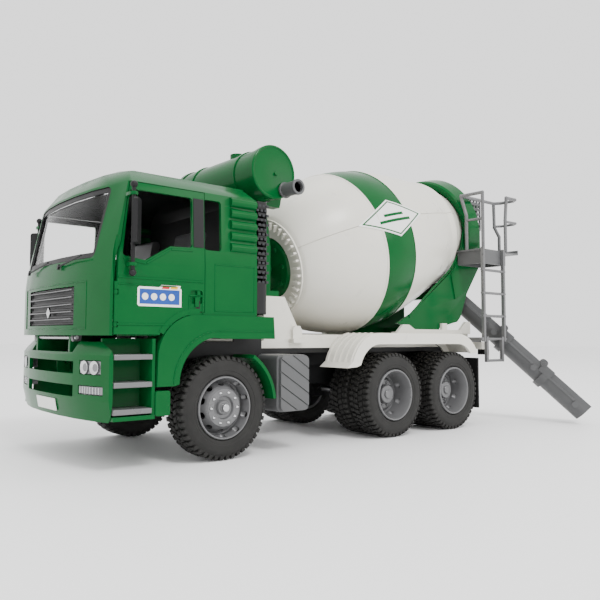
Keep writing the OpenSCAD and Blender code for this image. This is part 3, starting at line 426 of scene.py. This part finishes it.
for side, word in SIDES:
    bm = bmesh.new()
    tyre(bm, wheel_matrix(FRONT_AXLE_X, side), FRONT_TYRE_OUT)
    ob = finish_mesh(f"front_{word}_tyre.piece", bm, f"front_{word}_wheel", RUBBER,
                     bevel=0.18, segments=1)
    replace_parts(ob, f"front_{word}_tyre")
    rim(f"front_{word}_rim.piece", f"front_{word}_rim", FRONT_AXLE_X, side, True)
    for place, x in REAR_AXLES:
        bm = bmesh.new()
        for out in REAR_TYRES_OUT:
            tyre(bm, wheel_matrix(x, side), out)
        ob = finish_mesh(f"{place}_{word}_tyres.piece", bm, f"{place}_{word}_wheel", RUBBER,
                         bevel=0.18, segments=1)
        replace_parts(ob, f"{place}_{word}_tyres")
        rim(f"{place}_{word}_rim.piece", f"{place}_{word}_rim", x, side, False)

# ---------------------------------------------------------------- drum
# Places on the drum are given as s along its axis from the front end, and an angle round it
DRUM = Matrix.Translation((70.7, 0, 138.4)) @ Matrix.Rotation(math.radians(14) - math.pi / 2, 4, "Y")
DRUM_LENGTH = 217
WIDEST_S = 86
SEAM = 72.0
BAND_RIMS = ((67.0, 68.6), (103.9, 105.5))
ROLLING_RING = (184.2, 192.0)
GREEN_BAND = (68.4, 104.1)


def drum_radius(s):
    """The skin's outer radius, which is greatest at WIDEST_S."""
    if s < WIDEST_S:
        return 40.5 + 32.5 * (1 - (1 - s / WIDEST_S) ** 2) ** (1 / 1.2)
    return 42.6 + 30.4 * (1 - ((s - WIDEST_S) / (DRUM_LENGTH - WIDEST_S)) ** 1.6)


def drum_outside():
    """Outer outline of the drum with its raised band rims and its rolling ring."""
    pts = [(40.2, 0.55), (40.7, 0.9)]
    s = 1.6
    while s < DRUM_LENGTH:
        if not any(a - 2.6 < s < b + 2.6 for a, b in BAND_RIMS + (ROLLING_RING,)):
            pts.append((drum_radius(s), s))
        s += 1.6 if s < 20 else 3.0
    for a, b in BAND_RIMS:
        pts += [(drum_radius(a - 0.3), a - 0.3), (drum_radius(a) + 0.55, a + 0.1),
                (drum_radius(b) + 0.55, b - 0.1), (drum_radius(b + 0.3), b + 0.3)]
    a, b = ROLLING_RING
    pts += [(drum_radius(a), a), (53.9, a + 0.5), (54.1, a + 1.4), (54.1, b - 1.4), (53.9, b - 0.5),
            (drum_radius(b), b)]
    return sorted(pts, key=lambda p: p[1])


MOUTH = [(42.4, 217.4), (40.0, 218.6), (40.0, 228), (36, 228), (36, 219)]
INSIDE = [(drum_radius(s) - 2 - max(0, (30 - s) / 15), s)
          for s in (216, 196, 176, 158, 140, 122, 104, 86, 72, 60, 48, 36, 26, 18, 12, 7, 3)]
DRUM_SHELL = drum_outside() + MOUTH + INSIDE + [(19, 3), (19, 0.55)]
for node, start in (("drum_upper", SEAM - 180), ("drum_lower", SEAM)):
    bm = bmesh.new()
    add_revolve(bm, DRUM_SHELL, DRUM, n=90, a0=start + 0.12, a1=start + 179.88)
    for f in bm.faces:
        c = DRUM.inverted() @ f.calc_center_median()
        if GREEN_BAND[0] < c.z < GREEN_BAND[1] and c.xy.length > drum_radius(c.z) - 0.4:
            f.material_index = 1
    ob = finish_mesh(node + ".piece", bm, "drum", [CREAM, GREEN], bevel=0.22, angle=30)
    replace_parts(ob, node)


def on_drum(s, az, lift):
    """A point `lift` above the drum's skin, az degrees from the top towards the left."""
    r = drum_radius(s) + lift
    a = math.radians(az)
    return DRUM @ Vector((r * math.cos(a), r * math.sin(a), s))


def drum_patch(name, outline, lift, thick, mat, n=10):
    """A thin plate that follows the drum's skin. The outline is in (s, arc length from the seam)."""
    bm = bmesh.new()
    k = len(outline)
    cs = sum(s for s, u in outline) / k
    cu = sum(u for s, u in outline) / k
    edge = []
    for (sa, ua), (sb, ub) in zip(outline, outline[1:] + outline[:1]):
        edge += [(sa + (sb - sa) * w, ua + (ub - ua) * w) for w in (j / 8 for j in range(8))]
    m = len(edge)

    def ring_verts(t, h):
        """The outline shrunk to t about its middle, or one vertex for t = 0."""
        spots = [(cs + (s - cs) * t, cu + (u - cu) * t) for s, u in edge] if t else [(cs, cu)]
        return [bm.verts.new(on_drum(s, SEAM + math.degrees(u / drum_radius(s)), h)) for s, u in spots]

    layers = [[ring_verts(i / n, h) for i in range(n + 1)] for h in (lift, lift + thick)]
    for rings in layers:
        for j in range(m):
            bm.faces.new((rings[0][0], rings[1][j], rings[1][(j + 1) % m]))
        for a, b in zip(rings[1:], rings[2:]):
            for j in range(m):
                bm.faces.new((a[j], b[j], b[(j + 1) % m], a[(j + 1) % m]))
    a, b = layers[0][n], layers[1][n]
    for j in range(m):
        bm.faces.new((a[j], b[j], b[(j + 1) % m], a[(j + 1) % m]))
    finish_mesh(name, bm, "drum", mat, angle=50)


PLAQUE_S, PLAQUE_LONG, PLAQUE_HIGH = 86.5, 40.0, 17.0


def plaque_diamond(k):
    """The plaque's outline, scaled by k about its middle."""
    long, high = PLAQUE_LONG * k, PLAQUE_HIGH * k
    return [(PLAQUE_S - long, 0), (PLAQUE_S, high), (PLAQUE_S + long, 0), (PLAQUE_S, -high)]


drum_patch("drum_plaque", plaque_diamond(1), 0.05, 0.5, WHITE)
outer, inner = plaque_diamond(0.91), plaque_diamond(0.845)
for i in range(4):
    j = (i + 1) % 4
    drum_patch(f"plaque_line_{i + 1}", [outer[i], outer[j], inner[j], inner[i]], 0.5, 0.2, GREEN)
for i, (half, at) in enumerate(((19.0, 2.6), (12.0, -2.6))):
    drum_patch(f"plaque_bar_{i + 1}", rect(PLAQUE_S - half, at - 1.2, PLAQUE_S + half, at + 1.2), 0.5, 0.2,
               GREEN)


# ---------------------------------------------------------------- cab sides
def flank_y(z):
    """How far out the cab's side stands at height z. It leans in above the window sill."""
    return CAB_HALF_WIDTH if z < 125 else CAB_HALF_WIDTH - (z - 125) * 2.0 / 48.5


def flank_plates(name, side, outlines, lift, thick, body, mat, bevel=0.12):
    """Thin plates on the cab's side. Each outline is in (x, z)."""
    bm = bmesh.new()
    for pts in outlines:
        lo = [bm.verts.new((x, side * (flank_y(z) + lift), z)) for x, z in pts]
        hi = [bm.verts.new((x, side * (flank_y(z) + lift + thick), z)) for x, z in pts]
        join_outlines(bm, lo, hi)
    finish_mesh(name, bm, body, mat, bevel=bevel, segments=1)


def rect_ring(x0, z0, x1, z1, w):
    """Four strips of width w round a rectangle."""
    return [rect(x0, z0, x1, z0 + w), rect(x0, z1 - w, x1, z1), rect(x0, z0 + w, x0 + w, z1 - w),
            rect(x1 - w, z0 + w, x1, z1 - w)]


def line_strip(pts, w):
    """Flat strips of width w along a path."""
    out = []
    for (xa, za), (xb, zb) in zip(pts, pts[1:]):
        d = math.hypot(xb - xa, zb - za)
        nx, nz = -(zb - za) / d * w / 2, (xb - xa) / d * w / 2
        out.append([(xa - nx, za - nz), (xb - nx, zb - nz), (xb + nx, zb + nz), (xa + nx, za + nz)])
    return out


DOOR_REAR, DOOR_FRONT = 184.6, 245.0
BELT = [rect(DOOR_REAR, 114.4, DOOR_FRONT - 1.5, 115.8),
        rect(DOOR_REAR + 20, 110.6, DOOR_FRONT - 1.5, 111.4)]
WINDOW_LINE = [(240.5, 126.2), (225.5, 124.2), (208.5, 134.2), (193, 134.7)]
DOOR_LIP = arc(190, 67, 27.3, range(32, 96, 7)) + arc(190, 67, 31, range(95, 31, -7))
ARCH_LINE = arc(173, 51, 33, range(0, 91, 6)) + [(128.5, 84)]
LABEL = [(201, 98.4), (230, 98.4), (231, 99.4), (231, 109.2), (230, 110.2), (216.5, 110.2), (215.5, 111.6),
         (201.6, 111.6), (202.2, 110.2), (201, 109.4)]
LABEL_FLASH = [(204, 109.3), (209, 109.3), (208.2, 111.2), (203.2, 111.2)]
LABEL_DASH = [(209.8, 109.3), (215, 109.3), (214, 110.8), (209, 111.2)]
LABEL_DISCS = [arc(x, 104.3, 2.1, range(0, 360, 18)) for x in (208, 214, 220, 226)]
# name, outlines, lift, thickness, is it on the door, material, slot, bevel
FLANK_PLATES = (
    ("belt", BELT, -0.1, 0.55, True, GREEN, "green_plastic", 0.2),
    ("sill_bead", [rect(207, 86.8, DOOR_FRONT - 1, 88.0)], -0.1, 0.55, True, GREEN, "green_plastic", 0.2),
    ("window_bead", line_strip(WINDOW_LINE, 1.5), -0.1, 0.6, True, GREEN, "green_plastic", 0.25),
    ("door_pillar", [rect(DOOR_REAR, 137, 192.4, 168.5)], -0.05, 0.5, True, BLACK, "black_plastic", 0.12),
    ("door_lip", [DOOR_LIP], -0.4, 0.7, True, GREEN, "green_plastic", 0),
    ("handle_frame", rect_ring(184.8, 93.5, 195.6, 106.6, 1.0), -0.05, 0.45, True, GREEN, "green_plastic", 0.2),
    # painted shade: a thin black plate darkens the handle's recess
    ("handle_painted_shade", [rect(187.4, 96.4, 190.4, 103.6)], -0.05, 0.12, True, BLACK, "black_plastic", 0),
    ("handle_grip", [rect(188.4, 99.0, 191.4, 105.2)], -0.05, 0.9, True, GREEN, "green_plastic", 0.2),
    ("arch_line", line_strip(ARCH_LINE, 0.9), 0.9, 0.45, False, GREEN, "green_plastic", 0.15),
    ("hatch_line", rect_ring(144, 96.5, 176.5, 127.5, 0.8), -0.1, 0.38, False, GREEN, "green_plastic", 0.15),
    ("door_label", [LABEL], -0.05, 0.16, True, WHITE, "plate_white", 0),
    ("label_field", [rect(202.4, 99.8, 229.6, 108.8)], 0.10, 0.08, True, BLUE, "plate_white", 0),
    ("label_flash", [LABEL_FLASH], 0.10, 0.08, True, YELLOW, "plate_white", 0),
    ("label_dash", [LABEL_DASH], 0.10, 0.08, True, RED, "plate_white", 0),
    ("label_discs", LABEL_DISCS, 0.17, 0.08, True, WHITE, "plate_white", 0))
RIB_R = 2.9
RIB_END = [(RIB_R * math.sin(math.radians(a)), RIB_R * (1 - math.cos(math.radians(a))))
           for a in (20, 40, 60, 80, 90)]
for side, word in SIDES:
    door = BODY_OF[f"door_{word}"]
    for name, outlines, lift, thick, on_door, mat, slot, bevel in FLANK_PLATES:
        flank_plates(f"{name}_{word}", side, outlines, lift, thick, door if on_door else "cab", mat, bevel)
    # capsule ribs of the air duct behind the window
    bm = bmesh.new()
    for k in range(5):
        z = 139.5 + 7.6 * k
        place = Matrix.Translation((163.6, side * (flank_y(z) - 0.9), z)) @ Matrix.Rotation(-math.pi / 2, 4, "Y")
        add_revolve(bm, [(0, 0)] + RIB_END + [(RIB_R, 20.2), (0, 20.2)], place, n=28, close=False)
    finish_mesh(f"duct_ribs_{word}", bm, "cab", GREEN, angle=50)
    # staggered rows of small raised blocks on the air intake behind the cab
    bm = bmesh.new()
    for row in range(17):
        for col in range(3):
            x, z = 131.6 + 3.4 * col + (1.7 if row % 2 else 0), 117 + 3.3 * row
            if x < 140.2:
                add_box(bm, (x, side * 76.2 - 0.25, z), (x + 2.2, side * 76.2 + 0.25, z + 1.7))
    finish_mesh(f"intake_mesh_{word}", bm, "cab", DARK, bevel=0.15, segments=1)


# ---------------------------------------------------------------- grille, lamps, nose
def nose_x(middle, y):
    """X of the truck's bowed nose at Y = y, from its X in the middle."""
    y = abs(y)
    if y < 14:
        return middle
    if y < 39:
        return middle - (y - 14) * 1.8 / 25
    if y < 58:
        return middle - 1.8 - (y - 39) * 3.0 / 19
    return middle - 4.8 - (y - 58) * 4.6 / 17.5


def bar_on_nose(bm, middle, ya, yb, z0, z1):
    """A thin bar along the nose from ya to yb."""
    box_faces(bm, [bm.verts.new((nose_x(middle, y) + dx, y, z))
                   for y in (ya, yb) for dx in (-0.6, 0.35) for z in (z0, z1)])


bm = bmesh.new()
for k in range(5):
    z = 90.6 + 4.5 * k
    add_box(bm, (255.4, -38.6, z), (256.4, 38.6, z + 0.7))
finish_mesh("grille_lines", bm, "cab", SILVER, bevel=0.15, segments=1)
bm = bmesh.new()
stations = (-54, -39, -14, 14, 39, 54)
for z in (84.4, 112.8):
    for ya, yb in zip(stations, stations[1:]):
        bar_on_nose(bm, CAB_FRONT_X, ya, yb, z, z + 0.9)
for y in (-54, 53.1):
    bar_on_nose(bm, CAB_FRONT_X, y, y + 0.9, 85.3, 112.8)
finish_mesh("grille_surround", bm, "cab", GREEN, bevel=0.15, segments=1)
# a plain lozenge, with its local Z forward and its middle at the grille's middle height
bm = bmesh.new()
add_prism(bm, [(0, 3.6), (3.2, 0), (0, -3.6), (-3.2, 0)], 255.2, 256.8,
          Matrix(((0, 0, 1, 0), (1, 0, 0, 0), (0, 1, 0, 95.4), (0, 0, 0, 1))))
finish_mesh("grille_lozenge", bm, "cab", CHROME, bevel=0.3)


def nose_place(y, side, back, z):
    """A spot on the bumper at |Y| = y, set back by `back`, with local Z along the nose's outward normal."""
    turn = math.atan(nose_x(BUMPER_FRONT_X, y - 0.5) - nose_x(BUMPER_FRONT_X, y + 0.5))
    return Matrix.Translation((nose_x(BUMPER_FRONT_X, y) - back, side * y, z)) \
        @ Matrix.Rotation(side * turn, 4, "Z") @ Matrix.Rotation(math.pi / 2, 4, "Y")


LAMP_BOWL = [(0, -1.2), (2.4, -0.6), (3.7, 0.5), (4.0, 0.9), (3.6, 0.9), (2.2, -0.1), (0, -0.7)]
for side, word in SIDES:
    bm = bmesh.new()
    for y in (52.6, 62.4):
        add_revolve(bm, LAMP_BOWL, nose_place(y, side, 0.4, 61.7), n=32, close=False)
    finish_mesh(f"lamp_bowls_{word}", bm, "chassis", CHROME, angle=50)
    bm = bmesh.new()
    for k in range(8):
        add_box(bm, (-1.9, -0.25, -0.3), (1.9, 0.25, 0.5), nose_place(48.2 + 2.6 * k, side, 0.6, 48.2))
    finish_mesh(f"lamp_flutes_{word}", bm, "chassis", CHROME)
    # rivet on the wheel arch's front leg
    bm = bmesh.new()
    add_revolve(bm, [(0, 0), (2.6, 0), (2.6, 0.4), (2.1, 0.8), (0, 1.0)],
                side_matrix(side) @ Matrix.Translation((212.5, 56.5, 77.0)), n=28, close=False)
    finish_mesh(f"arch_rivet_{word}", bm, "cab", GREEN, angle=50)

# ---------------------------------------------------------------- painted shade under the deck and in the front wheel wells, and the rear frame
# painted shade: black boxes under the deck and inside the front wheel wells, where shadow falls
bm = bmesh.new()
add_box(bm, (-112, -46, 68.2), (117, 46, 71.9))
for side in (1, -1):
    add_box(bm, (118, side * 50.5 - 0.6, 66), (212, side * 50.5 + 0.6, 76.8))
    add_box(bm, (118, side * 50.5 - 0.6, 76.8), (143, side * 50.5 + 0.6, 80))
finish_mesh("deck_painted_shade", bm, "chassis", BLACK)
bm = bmesh.new()
keel = [on_drum(s, 180, 2.5) for s in range(84, 161, 4)]
keel = [(p.x, p.z) for p in keel if p.z > 85]
add_prism(bm, keel + [(keel[-1][0], 84), (keel[0][0], 84)], -1.5, 1.5, side_matrix(1))
finish_mesh("frame_keel", bm, "chassis", GREEN)
BEAD_LINE = ((-54, 99), (-80, 121), (-116, 146), (-133, 168), (-137, 186))
for side, word in SIDES:
    bm = bmesh.new()
    add_tube(bm, smooth_path([(x, side * 45.6, z) for x, z in BEAD_LINE], 14), 0.9, n=10)
    finish_mesh(f"frame_bead_{word}", bm, "chassis", GREEN, angle=60)

# ---------------------------------------------------------------- everything else: its CAD shape with rounded edges
BEVELS = {"cab_shell": 0.5, "door_left": 0.35, "door_right": 0.35, "bumper": 0.7, "grille": 0.3, "water_tank": 0.4,
          "subframe": 0.5, "rear_fenders": 0.6, "rear_frame": 0.6, "front_bearing": 0.5, "handrail": 0.0,
          "mixing_blades": 0.0, "windscreen": 0.0, "drum_gear": 0.25, "chute_main": 0.3, "chute_middle": 0.3,
          "chute_end": 0.3, "platform": 0.4, "ladder_upper": 0.35, "ladder_lower": 0.35}
# metres, like the frame's meshes: faces that look towards the cab's middle, above its floor, are black, painted
# shade for the cab's dim inside
CAB_MIDDLE = Vector((0.195, 0, 0.140))
CAB_FLOOR_Z = 0.096
replaced = set()
for o in scene.objects:
    replaced |= set(o.get("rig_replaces", []))
for node in frame["nodes"]:
    if node in replaced:
        continue
    piece = refine(node, BEVELS.get(node, 0.4))
    if node in ("cab_shell", "door_left", "door_right"):
        # painted shade: the cab's and doors' inner walls are given black
        piece.data.materials.append(BLACK)
        for face in piece.data.polygons:
            inward = (CAB_MIDDLE - face.center).normalized()
            if face.center.z > CAB_FLOOR_Z and face.normal.dot(inward) > 0.45:
                face.material_index = 1

# ---------------------------------------------------------------- floor, light, camera
bm = bmesh.new()
bmesh.ops.create_grid(bm, x_segments=8, y_segments=8, size=6)
me = bpy.data.meshes.new("floor")
bm.to_mesh(me)
bm.free()
floor = bpy.data.objects.new("floor", me)
floor.location = (0, 0, -0.0002)
scene.collection.objects.link(floor)
me.materials.append(FLOOR)

world = bpy.data.worlds.new("studio")
scene.world = world
world.use_nodes = True
bg = world.node_tree.nodes["Background"]
bg.inputs[0].default_value = (1, 1, 1, 1)
bg.inputs[1].default_value = 1.7


def area(name, loc, target, size, power):
    """A square light of `size` metres at loc, turned to target."""
    lamp = bpy.data.lights.new(name, "AREA")
    lamp.shape = "SQUARE"
    lamp.size = size
    lamp.energy = power
    o = bpy.data.objects.new(name, lamp)
    o.location = loc
    o.rotation_euler = (Vector(target) - Vector(loc)).to_track_quat("-Z", "Y").to_euler()
    scene.collection.objects.link(o)


area("key", (0.25, 1.15, 1.55), (0.05, 0, 0.1), 0.40, 20)
area("fill", (-0.8, 1.5, 0.8), (0, 0, 0.1), 0.5, 4)
area("top", (-0.1, -0.4, 1.9), (0, 0, 0.1), 0.9, 5)

CAMERA_AT = (0.408594, 0.429599, 0.080239)
yaw, pitch, roll = math.radians(-128.737), math.radians(3.653), math.radians(0.272)
look = Vector((math.cos(pitch) * math.cos(yaw), math.cos(pitch) * math.sin(yaw), math.sin(pitch)))
level = look.cross(Vector((0, 0, 1))).normalized()
upright = level.cross(look)
right = level * math.cos(roll) + upright * math.sin(roll)
up = upright * math.cos(roll) - level * math.sin(roll)
cam_data = bpy.data.cameras.new("camera")
cam = bpy.data.objects.new("camera", cam_data)
cam.matrix_world = Matrix((
    (right.x, up.x, -look.x, CAMERA_AT[0]),
    (right.y, up.y, -look.y, CAMERA_AT[1]),
    (right.z, up.z, -look.z, CAMERA_AT[2]),
    (0, 0, 0, 1)))
cam_data.sensor_width = 36.0
cam_data.lens = 39.122
cam_data.shift_x = 0.04045
cam_data.shift_y = -0.00743
cam_data.clip_start = 0.01
cam_data.clip_end = 50
scene.collection.objects.link(cam)
scene.camera = cam

bpy.context.view_layer.update()
